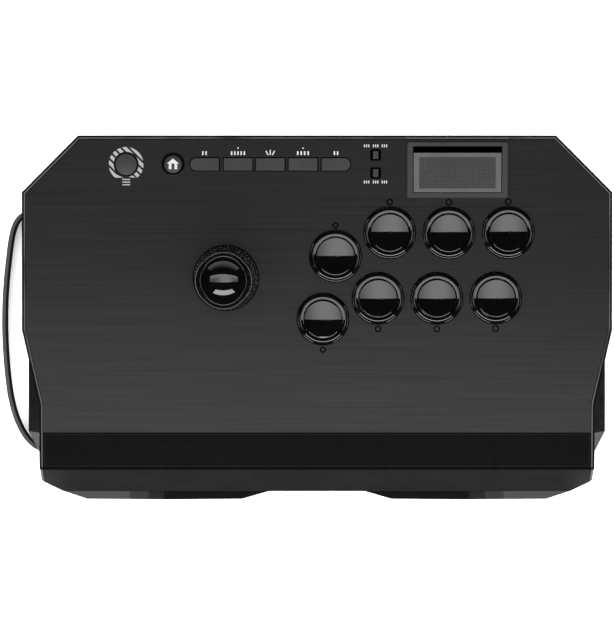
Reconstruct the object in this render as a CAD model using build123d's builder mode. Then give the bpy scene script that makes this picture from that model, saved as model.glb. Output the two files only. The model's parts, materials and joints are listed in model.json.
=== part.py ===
"""Arcade joystick panel: a desktop fight stick with a lever, eight main buttons and a carry strap.

Frame: X to the player's right, Y away from the player, Z up. The origin is on the table, under the
middle of the case. Lengths are millimetres. Controls are placed on the tilted panel plane, with
(x, y) along it and depth measured down from its top face.
"""

from build123d import *
import math
import os

os.makedirs("parts", exist_ok=True)

# ---------------------------------------------------------------- driving dimensions

PANEL_TILT = 3.0  # degrees, the back edge is higher
PANEL_Z = 45.0  # height of the panel's top face over the origin
RIM_RISE = 0.6  # the case's rim stands this much above the panel

PAD_T = 2.0  # rubber pads under the case
COVER_T = 1.5  # steel bottom cover
SPLIT_Z = 18.0  # joint between the two case halves
WALL = 2.0  # upper case wall
TUB_WALL = 3.0  # lower case wall
SHELF_Z = 15.5  # underside of the lower case's top flange
WING_Z = 26.0  # top of the wing where it meets the upper case
PLATE_T = 1.6  # steel top plate
PLATE_EDGE = 0.2  # chamfer round the plate and the strip
PLATE_INSET = 2.15  # from the case's outline to the plate's edge
LEDGE_W = 2.6  # ledge that the plate rests on
LEDGE_T = 2.5
RIM_BEVEL = 0.75
DECK_W = 6.0  # the palm strip's deck reaches this far under the plate
FLANGE_W = 8.5  # the lower case's top flange
CASE_GAP = 0.2  # between the upper case and the wings
FIT_GAP = 0.2  # round a piece that drops into a recess
RUN_GAP = 0.3  # between a moving piece and the piece beside it

# right half of the case outlines, back to front
UPPER_OUTLINE = [
    (0, 114.1),
    (147.5, 114.1),
    (182.4, 79.2),
    (182.8, -6),
    (172.4, -52.5),
    (172.4, -92.65),
    (0, -92.65),
]
LOWER_OUTLINE = [
    (0, 113.6),
    (147.2, 113.6),
    (181.8, 79),
    (181.8, -69.9),
    (174.9, -83.3),
    (157.3, -104),
    (0, -104),
]

STRIP_BACK_Y = -70.1  # the palm strip runs from here to the lip
STRIP_FRONT_Y = -91.85
STRIP_HALF_W = 170.25

LIP_TOP_Y = -92.85
LIP_FOOT = (-107.5, 22.0)  # y and z of the lip's front edge
LIP_T = 3.0
LIP_HALF_W = 172.4
LIP_TOP_Z = 40.5
LIP_BEVEL = 1.7

FOOT_TOP = [(29.5, -102), (29.5, -107.3), (95, -107.7), (159.6, -107.3), (150, -102)]
FOOT_BOTTOM = [(47.5, -102), (47.5, -113.9), (92, -114.3), (146.2, -113.9), (137, -102)]

BUTTON_SPOTS = [
    (11.4, 39.8),
    (44.9, 54.3),
    (81.5, 54.1),
    (118.2, 54.4),
    (3.7, 0.8),
    (37.8, 13.7),
    (74.2, 13.7),
    (110.7, 13.9),
]
BUTTON_HOLE_R = 15.0
BUTTON_RIM_R = 16.4
BUTTON_RIM_H = 2.97
BUTTON_CREST_R = 13.1
BARREL_R = 14.8
BARREL_BORE_R = 12.35
BARREL_DEPTH = 20.0
BARREL_FLOOR_T = 2.0
LUG_SIZE = (2.4, 6.0, 5.0)
PLUNGER_R = 12.05
PLUNGER_TOP = 5.8
PLUNGER_WALL = 1.6
PLUNGER_DEPTH = 12.0
PLUNGER_POST_R = 3.0
SWITCH_NUB_TOP = -15.4  # top of the microswitch's own plunger
TERMINAL_L = 6.0

LEVER_SPOT = (-56.4, 26.2)
PIVOT_DEPTH = 14.0
LEVER_HOLE_R = 12.0
BALL_R = 17.5
BALL_HEIGHT = 42.0  # centre of the ball over the panel
SHAFT_R = 4.0
SLEEVE_R = 5.75
SLEEVE_BOTTOM, SLEEVE_TOP = -6.0, 25.1
SHAFT_BOTTOM, SHAFT_TOP = -34.5, 38.0
PIVOT_R = 9.0
PIVOT_FLAT = 6.5  # the pivot ball is cut flat this far above and below its centre
PIVOT_PLAY = 0.25
PIVOT_SLOT = (4.35, 5.6)  # half width of the ball's bore along X, at its middle and at its ends
SOCKET_R = 14.0
SOCKET_TOP, SOCKET_BOTTOM = -9.5, -19.0
WASHER_R = 20.5
WASHER_T = 1.2
WASHER_BORE_R = 6.3
WASHER_SHIFT = 2.6  # how far the shaft can carry the washer, with some clearance
GLIDE_R = 16.0
GLIDE_T = 0.6
GLIDE_LIFT = 0.1
STUD_R = 2.0
STUD_SPOTS = [(-36, -20), (36, -20), (-36, 20), (36, 20)]
MOUNT_T = 1.6
MOUNT_SIZE = (82.0, 53.0)
LEVER_BODY_W = 58.0
LEVER_BODY_DEPTH = 20.0
LEVER_BODY_NECK = 4.0
GATE_DEPTH = 35.0
GATE_T = 2.9
GATE_HALF = 7.7
ACTUATOR_R = 8.3
ACTUATOR_TOP, ACTUATOR_BOTTOM = -22.0, -29.6
SPRING_R = 6.3
SPRING_WIRE_R = 0.5
SPRING_PITCH = 1.7
SPRING_L = 6.2
SWITCH_SIZE = (19.8, 6.4, 10.0)
LEVER_SWITCH_FACE = 13.0  # from the lever's axis to a switch

FUNCTION_XS = [-69.5, -48.8, -28.9, -8.7, 11.7]
FUNCTION_Y = 96.6
FUNCTION_W = 17.9
FUNCTION_H = 7.7
CAP_GAP = 0.55
CAP_RISE = 0.6
CAP_FLANGE = 0.85
FLANGE_TOP = -2.0
CAP_BOTTOM = -4.6
DOME_RISE = 1.5
DOME_EDGE = 0.5
TACT_H, TACT_NUB = 1.8, 0.5
OPTIONS_SPOT = (-117.9, 96.5)
OPTIONS_R = 6.65
HOME_SPOT = (-88.9, 96.6)
HOME_R = 5.45
HOME_BEZEL_R = 7.15
HOME_BARREL_R = 6.3
HOME_BARREL_L = 2.4
HOME_FLANGE_TOP = -2.8
SLIDE_SPOTS = [(36.2, 102.3), (36.2, 91.2)]
SLIDE_SLOT = (6.6, 7.1)
SLIDE_KNOB = (3.5, 5.0)
SLIDE_RISE = 0.8
SLIDE_FLANGE = (8.0, 6.2)
SLIDE_FLANGE_TOP, SLIDE_BOTTOM = -2.2, -4.8
LED_SPOTS = [(-48.8, 106.5), (-8.7, 106.5)]
LED_R = 0.4
BOARD_DEPTH = 8.0  # top of the control board
BOARD_T = 1.5
BOARD_X = (-127.0, 43.0)
BOARD_Y = (87.5, 108.0)
BOARD_STUD_SPOTS = [(-103.5, 89.7), (-38.8, 89.7), (1.5, 89.7), (25, 89.7)]

TOUCH_SPOT = (86.7, 93.2)
BEZEL_SIZE = (62.7, 34.6)
BEZEL_RISE = 1.3
TOUCH_OPENING = (55.1, 28.9)
TOUCH_PAD = (54.3, 24.5)
TOUCH_CUTOUT = (60.0, 32.0)
BEZEL_DEPTH = 7.5
TRAY_T = 1.2
HINGE_DEPTH = 2.0
HINGE_R = 1.0
HINGE_PLAY = 0.06
HINGE_L = 1.2
HINGE_BAR_TOP = -0.9
PAD_FRONT_Y = TOUCH_SPOT[1] - TOUCH_OPENING[1] / 2 + 0.4
HINGE_Y = PAD_FRONT_Y + TOUCH_PAD[1] + 1.2
PAD_TOP = 0.6
TOUCH_PAD_T = 3.6
CLICK_SPOT = (TOUCH_SPOT[0], PAD_FRONT_Y + 4)

STRAP_T = 2.5
STRAP_BOTTOM_Z = 3.8
STRAP_H = 13.0
STRAP_SLOT_GAP = 0.3
STRAP_LINE = [
    (-174.0, 67.6),
    (-187.4, 65.4),
    (-194.4, 44.5),
    (-197.5, 5),
    (-195.6, -35),
    (-189.7, -62.8),
    (-177.8, -79.6),
    (-167.0, -82.2),
]
STRAP_ANCHORS = [(-169.5, 67.4), (-162.5, -81.5)]
ANCHOR_SIZE = (9.0, 8.0, 11.5)

BACK_Y = UPPER_OUTLINE[1][1]
USB_X, JACK_X = -120.0, -96.0
USB_Z, JACK_Z = 29.4, 30.8
USB_HOLE = (9.8, 4.1)
JACK_HOLE_R = 3.3
MAIN_BOARD = (90.0, 42.0)
MAIN_BOARD_SPOT = (-105.0, 84.2)
MAIN_BOARD_Z = 26.1
JACK_BORE_R = 1.75
JACK_BORE_DEPTH = 14.0
JACK_L = 15.0
USB_L = 8.0

SCREW_SPOTS = [
    (-139, 104),
    (0, 104),
    (139, 104),
    (-173.5, 20),
    (173.5, 20),
    (-150, -95),
    (0, -97),
    (150, -95),
]
SCREW_R = 1.45
SCREW_L = 11.0
SCREW_HEAD_T = 1.3
BOSS_R = 4.0
POST_R = 3.0

GRIP_PAD = (200.0, 110.0)
FOOT_PAD = (70.0, 12.0)
FOOT_PAD_X = 95.0
FOOT_PAD_BACK_Y, FOOT_PAD_FRONT_Y = 97.0, -106.5
FOOT_PAD_FRONT_W = 8.0

# ---------------------------------------------------------------- planes and helpers

tilt = math.radians(PANEL_TILT)
panel = Plane(origin=(0, 0, PANEL_Z), x_dir=(1, 0, 0), z_dir=(0, -math.sin(tilt), math.cos(tilt)))
panel_normal = Axis((0, 0, 0), panel.z_dir)


def level(height):
    """The panel plane moved along its own normal; negative is into the case."""
    return panel.offset(height)


def upright(spot):
    """A plane that cuts the panel at a spot: its x runs along X, its y along the panel's normal."""
    return Plane(origin=panel.from_local_coords((*spot, 0)), x_dir=panel.x_dir, z_dir=-panel.y_dir)


def normal_axis(spot):
    return Axis(panel.from_local_coords((*spot, 0)), panel.z_dir)


def save(builder, name):
    builder.part.label = name
    export_step(builder.part, f"parts/{name}.step")
    print(f"{name}: {len(builder.part.solids())} solid(s), {builder.part.volume:.0f} mm3")


hinge_plane = Plane(
    origin=panel.from_local_coords((TOUCH_SPOT[0], HINGE_Y, -HINGE_DEPTH)),
    x_dir=panel.y_dir,
    z_dir=panel.x_dir,
)


def wing_slope(side):
    """The plane of a wing's top: from WING_Z at the upper case down to SPLIT_Z at its outer edge."""
    outer_x = LOWER_OUTLINE[2][0]
    inner_x = LIP_HALF_W
    rise = WING_Z - SPLIT_Z
    normal = Vector(side * rise, 0, outer_x - inner_x)
    return Plane(origin=(side * outer_x, 0, SPLIT_Z), z_dir=normal)


def corner_facet(side):
    """The plane through a wing's front corner: its outer diagonal edge and the top of the wing."""
    back = Vector(side * LOWER_OUTLINE[3][0], LOWER_OUTLINE[3][1], SPLIT_Z)
    front = Vector(side * LOWER_OUTLINE[4][0], LOWER_OUTLINE[4][1], SPLIT_Z)
    top = Vector(side * LIP_HALF_W, LOWER_OUTLINE[3][1] - 1.1, WING_Z)
    normal = (front - back).cross(top - back)
    if normal.Z < 0:
        normal = normal * -1
    return Plane(origin=back, z_dir=normal)


def lip_bevel(side):
    """The plane that takes the corner off the lip's end, at 45 degrees to its sloping face."""
    slope = Vector(0, LIP_FOOT[0] - LIP_TOP_Y, LIP_FOOT[1] - LIP_TOP_Z).normalized()
    face_normal = Vector(0, slope.Z, -slope.Y)
    start = Vector(side * (LIP_HALF_W - LIP_BEVEL), LIP_TOP_Y, LIP_TOP_Z)
    return Plane(origin=start, z_dir=Vector(side, 0, 0) + face_normal)


def front_corner(side):
    """The plane across a lower front corner, through the lip's end, its foot and the floor corner."""
    high = Vector(side * LIP_HALF_W, -100.1, 31)
    foot = Vector(side * FOOT_TOP[3][0], FOOT_TOP[3][1], LIP_FOOT[1])
    low = Vector(side * FOOT_BOTTOM[3][0], FOOT_BOTTOM[3][1], PAD_T)
    normal = (high - foot).cross(low - foot)
    if normal.Y > 0:
        normal = normal * -1
    return Plane(origin=foot, z_dir=normal)


def strap_band(thickness):
    """The strap's plan shape: a band of the given thickness along its centre line."""
    with BuildSketch() as band:
        with BuildLine():
            Spline(*STRAP_LINE)
        trace(line_width=thickness)
    return band.sketch


def outline(points, inset=0.0):
    """A sketch from a right half outline, mirrored about X = 0 and pulled in by the inset."""
    with BuildSketch() as face:
        with BuildLine():
            Polyline(*points)
            mirror(about=Plane.YZ)
        make_face()
        if inset:
            offset(amount=-inset, kind=Kind.INTERSECTION, mode=Mode.REPLACE)
    return face.sketch


def function_cap(index, grow=0.0):
    """One function button's outline: the two end buttons are rounded on their outer side."""
    width = FUNCTION_W + 2 * grow
    height = FUNCTION_H + 2 * grow
    side = {0: -1, len(FUNCTION_XS) - 1: 1}.get(index, 0)
    with BuildSketch() as cap:
        with Locations((FUNCTION_XS[index], FUNCTION_Y)):
            Rectangle(width, height)
        if side:
            end_x = FUNCTION_XS[index] + side * (width - height) / 2
            with Locations((end_x + side * height / 4, FUNCTION_Y)):
                Rectangle(height / 2, height, mode=Mode.SUBTRACT)
            with Locations((end_x, FUNCTION_Y)):
                Circle(height / 2)
    return cap.sketch


# ---------------------------------------------------------------- case

with BuildPart() as upper_case:
    with BuildSketch(Plane.XY.offset(SPLIT_Z)):
        add(outline(UPPER_OUTLINE))
        add(outline(UPPER_OUTLINE, WALL), mode=Mode.SUBTRACT)
    extrude(amount=PANEL_Z)
    split(bisect_by=level(RIM_RISE), keep=Keep.BOTTOM)
    rim_face = upper_case.faces().sort_by(panel_normal)[-1]
    chamfer(rim_face.inner_wires()[0].edges(), RIM_BEVEL)
    # the ledge under the plate's edge, and the deck that carries the palm strip
    with BuildSketch(level(-PLATE_T)):
        add(outline(UPPER_OUTLINE, WALL / 2))
        add(outline(UPPER_OUTLINE, WALL + LEDGE_W), mode=Mode.SUBTRACT)
        with Locations((0, STRIP_FRONT_Y)):
            Rectangle(
                2 * STRIP_HALF_W,
                STRIP_BACK_Y - STRIP_FRONT_Y + DECK_W,
                align=(Align.CENTER, Align.MIN),
            )
        with Locations(TOUCH_SPOT):
            Rectangle(*TOUCH_CUTOUT, mode=Mode.SUBTRACT)
    extrude(amount=-LEDGE_T)
    # the recess that the palm strip lies in
    with BuildSketch(level(-PLATE_T)):
        with Locations((0, (STRIP_BACK_Y + STRIP_FRONT_Y) / 2)):
            Rectangle(2 * (STRIP_HALF_W + FIT_GAP), STRIP_BACK_Y - STRIP_FRONT_Y + 2 * FIT_GAP)
    extrude(amount=PLATE_T + 2 * RIM_RISE, mode=Mode.SUBTRACT)
    # holes for the two sockets in the back wall
    with BuildSketch(Plane.XZ.offset(-BACK_Y)):
        with Locations((USB_X, USB_Z)):
            RectangleRounded(*USB_HOLE, USB_HOLE[1] / 2 - 0.05)
        with Locations((JACK_X, JACK_Z)):
            Circle(JACK_HOLE_R)
    extrude(amount=2 * WALL, mode=Mode.SUBTRACT)
    chamfer(upper_case.edges().filter_by(Axis.Z).sort_by(Axis.Y)[-2:], 1.0)
save(upper_case, "upper_case")

with BuildPart() as lower_case:
    with BuildSketch(Plane.XY.offset(PAD_T)):
        add(outline(LOWER_OUTLINE))
    extrude(amount=WING_Z - PAD_T)
    # the upper case stands on the flange, between the two wings
    with BuildSketch(Plane.XY.offset(SPLIT_Z)):
        add(outline(UPPER_OUTLINE, -CASE_GAP))
    extrude(amount=PANEL_Z, mode=Mode.SUBTRACT)
    with BuildSketch(Plane.XY.offset(LIP_FOOT[1])):
        with Locations((0, LIP_FOOT[0])):
            Rectangle(2 * LIP_HALF_W, 2 * (LIP_TOP_Y - LIP_FOOT[0]))
    extrude(amount=PANEL_Z, mode=Mode.SUBTRACT)
    # the wings slope down and outwards, and end in a corner facet
    for side in (1, -1):
        split(bisect_by=wing_slope(side), keep=Keep.BOTTOM)
        split(bisect_by=corner_facet(side), keep=Keep.BOTTOM)
    # hollow below the flange, and a way through inside it
    with BuildSketch(Plane.XY.offset(PAD_T)):
        add(outline(LOWER_OUTLINE, TUB_WALL))
    extrude(amount=SHELF_Z - PAD_T, mode=Mode.SUBTRACT)
    with BuildSketch(Plane.XY.offset(SHELF_Z)):
        add(outline(UPPER_OUTLINE, FLANGE_W))
    extrude(amount=SPLIT_Z, mode=Mode.SUBTRACT)
    # the two front feet
    for side in (1, -1):
        with BuildSketch(Plane.XY.offset(LIP_FOOT[1])):
            with BuildLine():
                Polyline(*[(side * x, y) for x, y in FOOT_TOP], close=True)
            make_face()
        with BuildSketch(Plane.XY.offset(PAD_T)):
            with BuildLine():
                Polyline(*[(side * x, y) for x, y in FOOT_BOTTOM], close=True)
            make_face()
        loft(ruled=True)
    # bosses that the case screws go into
    with BuildSketch(Plane.XY.offset(PAD_T + COVER_T)):
        with Locations(*SCREW_SPOTS):
            Circle(BOSS_R)
    extrude(amount=SPLIT_Z - PAD_T - COVER_T)
    with BuildSketch(Plane.XY.offset(PAD_T)):
        with Locations(*SCREW_SPOTS):
            Circle(SCREW_R + 0.05)
    extrude(amount=SCREW_L + 1, mode=Mode.SUBTRACT)
    # slots that the strap's ends go through
    with BuildSketch(Plane.XY.offset(STRAP_BOTTOM_Z - STRAP_SLOT_GAP)):
        add(strap_band(STRAP_T + 2 * STRAP_SLOT_GAP))
    extrude(amount=STRAP_H + 2 * STRAP_SLOT_GAP, mode=Mode.SUBTRACT)
save(lower_case, "lower_case")

with BuildPart() as front_lip:
    with BuildSketch(Plane.YZ):
        with BuildLine():
            Polyline((LIP_TOP_Y, LIP_TOP_Z), LIP_FOOT, (LIP_TOP_Y, LIP_FOOT[1]), close=True)
        make_face()
    extrude(amount=LIP_HALF_W, both=True)
    with BuildSketch(Plane.YZ):
        with BuildLine():
            Polyline(
                (LIP_TOP_Y, LIP_TOP_Z - 1.5 * LIP_T),
                (LIP_FOOT[0] + 1.5 * LIP_T, LIP_FOOT[1]),
                (LIP_TOP_Y, LIP_FOOT[1]),
                close=True,
            )
        make_face()
    extrude(amount=LIP_HALF_W - 2 * LIP_T, both=True, mode=Mode.SUBTRACT)
    for side in (1, -1):
        split(bisect_by=lip_bevel(side), keep=Keep.BOTTOM)
        split(bisect_by=front_corner(side), keep=Keep.BOTTOM)
save(front_lip, "front_lip")

with BuildPart() as top_plate:
    with BuildSketch(level(-PLATE_T)):
        add(outline(UPPER_OUTLINE, PLATE_INSET))
        with Locations((0, STRIP_BACK_Y + FIT_GAP)):
            Rectangle(2 * LIP_HALF_W, LIP_HALF_W, align=(Align.CENTER, Align.MAX), mode=Mode.SUBTRACT)
        with Locations(*BUTTON_SPOTS):
            Circle(BUTTON_HOLE_R, mode=Mode.SUBTRACT)
        with Locations(LEVER_SPOT):
            Circle(LEVER_HOLE_R, mode=Mode.SUBTRACT)
        with Locations(OPTIONS_SPOT):
            Circle(OPTIONS_R + CAP_GAP, mode=Mode.SUBTRACT)
        with Locations(HOME_SPOT):
            Circle(HOME_BARREL_R + FIT_GAP, mode=Mode.SUBTRACT)
        for index in range(len(FUNCTION_XS)):
            add(function_cap(index, CAP_GAP), mode=Mode.SUBTRACT)
        with Locations(*SLIDE_SPOTS):
            RectangleRounded(*SLIDE_SLOT, 1.2, mode=Mode.SUBTRACT)
        with Locations(*LED_SPOTS):
            Circle(LED_R + 0.05, mode=Mode.SUBTRACT)
        with Locations(TOUCH_SPOT):
            Rectangle(*TOUCH_CUTOUT, mode=Mode.SUBTRACT)
    extrude(amount=PLATE_T)
    edge_face = top_plate.faces().sort_by(panel_normal)[-1]
    chamfer(edge_face.outer_wire().edges(), PLATE_EDGE)
    # welded studs: four for the lever, four for the control board
    with BuildSketch(level(-PLATE_T)):
        with Locations(*[(LEVER_SPOT[0] + x, LEVER_SPOT[1] + y) for x, y in STUD_SPOTS]):
            Circle(STUD_R)
        with Locations(*BOARD_STUD_SPOTS):
            Circle(STUD_R)
    extrude(amount=PLATE_T - BOARD_DEPTH)
save(top_plate, "top_plate")

with BuildPart() as palm_strip:
    with BuildSketch(level(-PLATE_T)):
        with Locations((0, (STRIP_BACK_Y + STRIP_FRONT_Y) / 2)):
            Rectangle(2 * STRIP_HALF_W, STRIP_BACK_Y - STRIP_FRONT_Y)
    extrude(amount=PLATE_T)
    chamfer(palm_strip.faces().sort_by(panel_normal)[-1].edges(), PLATE_EDGE)
save(palm_strip, "palm_strip")

with BuildPart() as bottom_cover:
    with BuildSketch(Plane.XY.offset(PAD_T)):
        add(outline(LOWER_OUTLINE, TUB_WALL + FIT_GAP))
        with Locations(*SCREW_SPOTS):
            Circle(SCREW_R + FIT_GAP, mode=Mode.SUBTRACT)
    extrude(amount=COVER_T)
    # posts under the main board
    with BuildSketch(Plane.XY.offset(PAD_T + COVER_T)):
        with Locations(MAIN_BOARD_SPOT):
            with GridLocations(MAIN_BOARD[0] - 12, MAIN_BOARD[1] - 12, 2, 2):
                Circle(POST_R)
    extrude(amount=MAIN_BOARD_Z - PAD_T - COVER_T)
save(bottom_cover, "bottom_cover")

with BuildPart() as rubber_feet:
    with BuildSketch():
        RectangleRounded(*GRIP_PAD, 8)
        with Locations((-FOOT_PAD_X, FOOT_PAD_BACK_Y), (FOOT_PAD_X, FOOT_PAD_BACK_Y)):
            RectangleRounded(*FOOT_PAD, 4)
        with Locations((-FOOT_PAD_X, FOOT_PAD_FRONT_Y), (FOOT_PAD_X, FOOT_PAD_FRONT_Y)):
            RectangleRounded(FOOT_PAD[0], FOOT_PAD_FRONT_W, 3)
    extrude(amount=PAD_T)
    chamfer(rubber_feet.faces().filter_by(Axis.Z).group_by(Axis.Z)[0].edges(), 0.4)
save(rubber_feet, "rubber_feet")

with BuildPart() as case_screws:
    with BuildSketch(Plane.XY.offset(PAD_T)):
        with Locations(*SCREW_SPOTS):
            Circle(SCREW_R)
    extrude(amount=SCREW_L)
    with BuildSketch(Plane.XY.offset(PAD_T)):
        with Locations(*SCREW_SPOTS):
            Circle(2 * SCREW_R)
    extrude(amount=-SCREW_HEAD_T)
    with BuildSketch(Plane.XY.offset(PAD_T - SCREW_HEAD_T)):
        with Locations(*SCREW_SPOTS):
            RegularPolygon(1.2, 6)
    extrude(amount=SCREW_HEAD_T, mode=Mode.SUBTRACT)
save(case_screws, "case_screws")

with BuildPart() as carry_strap:
    with BuildSketch(Plane.XY.offset(STRAP_BOTTOM_Z)):
        add(strap_band(STRAP_T))
    extrude(amount=STRAP_H)
save(carry_strap, "carry_strap")

with BuildPart() as strap_anchors:
    with BuildSketch(Plane.XY.offset(PAD_T + COVER_T)):
        with Locations(*STRAP_ANCHORS):
            RectangleRounded(ANCHOR_SIZE[0], ANCHOR_SIZE[1], 1)
    extrude(amount=ANCHOR_SIZE[2])
    with BuildSketch(Plane.XY.offset(STRAP_BOTTOM_Z)):
        add(strap_band(STRAP_T))
    extrude(amount=STRAP_H, mode=Mode.SUBTRACT)
save(strap_anchors, "strap_anchors")

# ---------------------------------------------------------------- main buttons

for number, spot in enumerate(BUTTON_SPOTS, start=1):
    with BuildPart() as housing:
        with BuildSketch(upright(spot)):
            with BuildLine():
                Polyline((4, -BARREL_DEPTH), (BARREL_R, -BARREL_DEPTH), (BARREL_R, 0), (BUTTON_RIM_R, 0))
                Polyline((BUTTON_RIM_R, 0), (BUTTON_RIM_R, 0.3), (15.55, 1.22), (15.38, 1.3))
                ThreePointArc((15.38, 1.3), (14.44, 2.56), (BUTTON_CREST_R, BUTTON_RIM_H))
                Polyline(
                    (BUTTON_CREST_R, BUTTON_RIM_H),
                    (BARREL_BORE_R + 0.15, BUTTON_RIM_H + 0.03),
                    (BARREL_BORE_R, BUTTON_RIM_H - 0.2),
                    (BARREL_BORE_R, BARREL_FLOOR_T - BARREL_DEPTH),
                    (4, BARREL_FLOOR_T - BARREL_DEPTH),
                    (4, -BARREL_DEPTH),
                )
            make_face()
        revolve(axis=normal_axis(spot))
        # snap lugs under the plate
        with BuildSketch(level(-PLATE_T - FIT_GAP)):
            with Locations((spot[0] - BARREL_R, spot[1]), (spot[0] + BARREL_R, spot[1])):
                Rectangle(LUG_SIZE[0], LUG_SIZE[1])
        extrude(amount=-LUG_SIZE[2], taper=12)
    save(housing, f"button_housing_{number}")

    with BuildPart() as plunger:
        with BuildSketch(upright(spot)):
            with BuildLine():
                ThreePointArc((0, PLUNGER_TOP), (6, PLUNGER_TOP - 0.4), (11.3, PLUNGER_TOP - 1.5))
                ThreePointArc(
                    (11.3, PLUNGER_TOP - 1.5),
                    (11.85, PLUNGER_TOP - 1.85),
                    (PLUNGER_R, PLUNGER_TOP - 2.4),
                )
                Polyline(
                    (PLUNGER_R, PLUNGER_TOP - 2.4),
                    (PLUNGER_R, -PLUNGER_DEPTH),
                    (PLUNGER_R - PLUNGER_WALL, -PLUNGER_DEPTH),
                    (PLUNGER_R - PLUNGER_WALL, PLUNGER_TOP - 3.2),
                    (PLUNGER_POST_R, PLUNGER_TOP - 3.2),
                    (PLUNGER_POST_R, -PLUNGER_DEPTH),
                    (0, -PLUNGER_DEPTH),
                    (0, PLUNGER_TOP),
                )
            make_face()
        revolve(axis=normal_axis(spot))
    save(plunger, f"button_plunger_{number}")

with BuildPart() as button_microswitches:
    with BuildSketch(level(-BARREL_DEPTH - FIT_GAP)):
        with Locations(*BUTTON_SPOTS):
            Rectangle(SWITCH_SIZE[0], SWITCH_SIZE[1])
    extrude(amount=-SWITCH_SIZE[2])
    with BuildSketch(level(-BARREL_DEPTH - FIT_GAP)):
        with Locations(*BUTTON_SPOTS):
            Circle(1.5)
    extrude(amount=BARREL_DEPTH + FIT_GAP + SWITCH_NUB_TOP)
    with BuildSketch(level(-BARREL_DEPTH - FIT_GAP - SWITCH_SIZE[2])):
        with Locations(*BUTTON_SPOTS):
            with GridLocations(SWITCH_SIZE[0] - 6, 0, 2, 1):
                Rectangle(0.6, 3.2)
    extrude(amount=-TERMINAL_L)
save(button_microswitches, "button_microswitches")

# ---------------------------------------------------------------- lever

lever = Plane(origin=panel.from_local_coords((*LEVER_SPOT, 0)), x_dir=panel.x_dir, z_dir=panel.z_dir)
lever_axis = normal_axis(LEVER_SPOT)
mount_bottom = -PLATE_T - MOUNT_T

with BuildPart() as lever_mount_plate:
    with BuildSketch(lever.offset(mount_bottom)):
        RectangleRounded(*MOUNT_SIZE, 4)
        Circle(LEVER_HOLE_R, mode=Mode.SUBTRACT)
        with Locations(*STUD_SPOTS):
            Circle(STUD_R + FIT_GAP, mode=Mode.SUBTRACT)
    extrude(amount=MOUNT_T)
save(lever_mount_plate, "lever_mount_plate")

with BuildPart() as lever_nuts:
    with BuildSketch(lever.offset(mount_bottom)):
        with Locations(*STUD_SPOTS):
            RegularPolygon(4.0, 6)
            Circle(STUD_R + 0.03, mode=Mode.SUBTRACT)
    extrude(amount=-3.2)
save(lever_nuts, "lever_nuts")

with BuildPart() as lever_body:
    with BuildSketch(lever.offset(mount_bottom)):
        RectangleRounded(LEVER_BODY_W, LEVER_BODY_W, 4)
    extrude(amount=-LEVER_BODY_DEPTH - mount_bottom)
    with BuildSketch(lever.offset(-LEVER_BODY_DEPTH)):
        RectangleRounded(LEVER_BODY_W - 2 * TUB_WALL, LEVER_BODY_W - 2 * TUB_WALL, 2)
    extrude(amount=LEVER_BODY_DEPTH + mount_bottom - TUB_WALL, mode=Mode.SUBTRACT)
    with BuildSketch(lever.offset(SOCKET_BOTTOM)):
        Circle(SOCKET_R)
    extrude(amount=mount_bottom - SOCKET_BOTTOM)
    with BuildSketch(lever.offset(SOCKET_TOP)):
        Circle(SOCKET_R - LEVER_BODY_NECK)
    extrude(amount=mount_bottom - SOCKET_TOP, mode=Mode.SUBTRACT)
    with Locations(lever.offset(-PIVOT_DEPTH)):
        Sphere(PIVOT_R + PIVOT_PLAY, mode=Mode.SUBTRACT)
save(lever_body, "lever_body")

with BuildPart() as pivot_ball:
    with BuildSketch(upright(LEVER_SPOT)):
        with BuildLine():
            flat_r = math.sqrt(PIVOT_R**2 - PIVOT_FLAT**2)
            ThreePointArc(
                (flat_r, -PIVOT_DEPTH - PIVOT_FLAT),
                (PIVOT_R, -PIVOT_DEPTH),
                (flat_r, -PIVOT_DEPTH + PIVOT_FLAT),
            )
            Polyline(
                (flat_r, -PIVOT_DEPTH + PIVOT_FLAT),
                (0, -PIVOT_DEPTH + PIVOT_FLAT),
                (0, -PIVOT_DEPTH - PIVOT_FLAT),
                (flat_r, -PIVOT_DEPTH - PIVOT_FLAT),
            )
        make_face()
    revolve(axis=lever_axis)
    # the bore widens to both ends, so the shaft can lean along X inside the ball
    with BuildSketch(upright(LEVER_SPOT)):
        with BuildLine():
            Polyline(
                (-PIVOT_SLOT[1], -PIVOT_DEPTH + PIVOT_R),
                (PIVOT_SLOT[1], -PIVOT_DEPTH + PIVOT_R),
                (PIVOT_SLOT[0], -PIVOT_DEPTH),
                (PIVOT_SLOT[1], -PIVOT_DEPTH - PIVOT_R),
                (-PIVOT_SLOT[1], -PIVOT_DEPTH - PIVOT_R),
                (-PIVOT_SLOT[0], -PIVOT_DEPTH),
                close=True,
            )
        make_face()
    extrude(amount=PIVOT_SLOT[0], both=True, mode=Mode.SUBTRACT)
save(pivot_ball, "pivot_ball")

with BuildPart() as lever_shaft:
    with BuildSketch(lever.offset(SHAFT_BOTTOM)):
        Circle(SHAFT_R)
    extrude(amount=SHAFT_TOP - SHAFT_BOTTOM)
    chamfer(lever_shaft.faces().sort_by(lever_axis)[0].edges(), 0.6)
save(lever_shaft, "lever_shaft")

with BuildPart() as shaft_sleeve:
    with BuildSketch(lever.offset(SLEEVE_BOTTOM)):
        Circle(SLEEVE_R)
        Circle(SHAFT_R + 0.05, mode=Mode.SUBTRACT)
    extrude(amount=SLEEVE_TOP - SLEEVE_BOTTOM)
save(shaft_sleeve, "shaft_sleeve")

with BuildPart() as ball_top:
    with Locations(lever.offset(BALL_HEIGHT)):
        Sphere(BALL_R)
    split(bisect_by=lever.offset(SLEEVE_TOP + 0.1), keep=Keep.TOP)
    with BuildSketch(lever.offset(SLEEVE_TOP)):
        Circle(SHAFT_R + 0.02)
    extrude(amount=SHAFT_TOP - SLEEVE_TOP + 0.1, mode=Mode.SUBTRACT)
save(ball_top, "ball_top")

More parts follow.
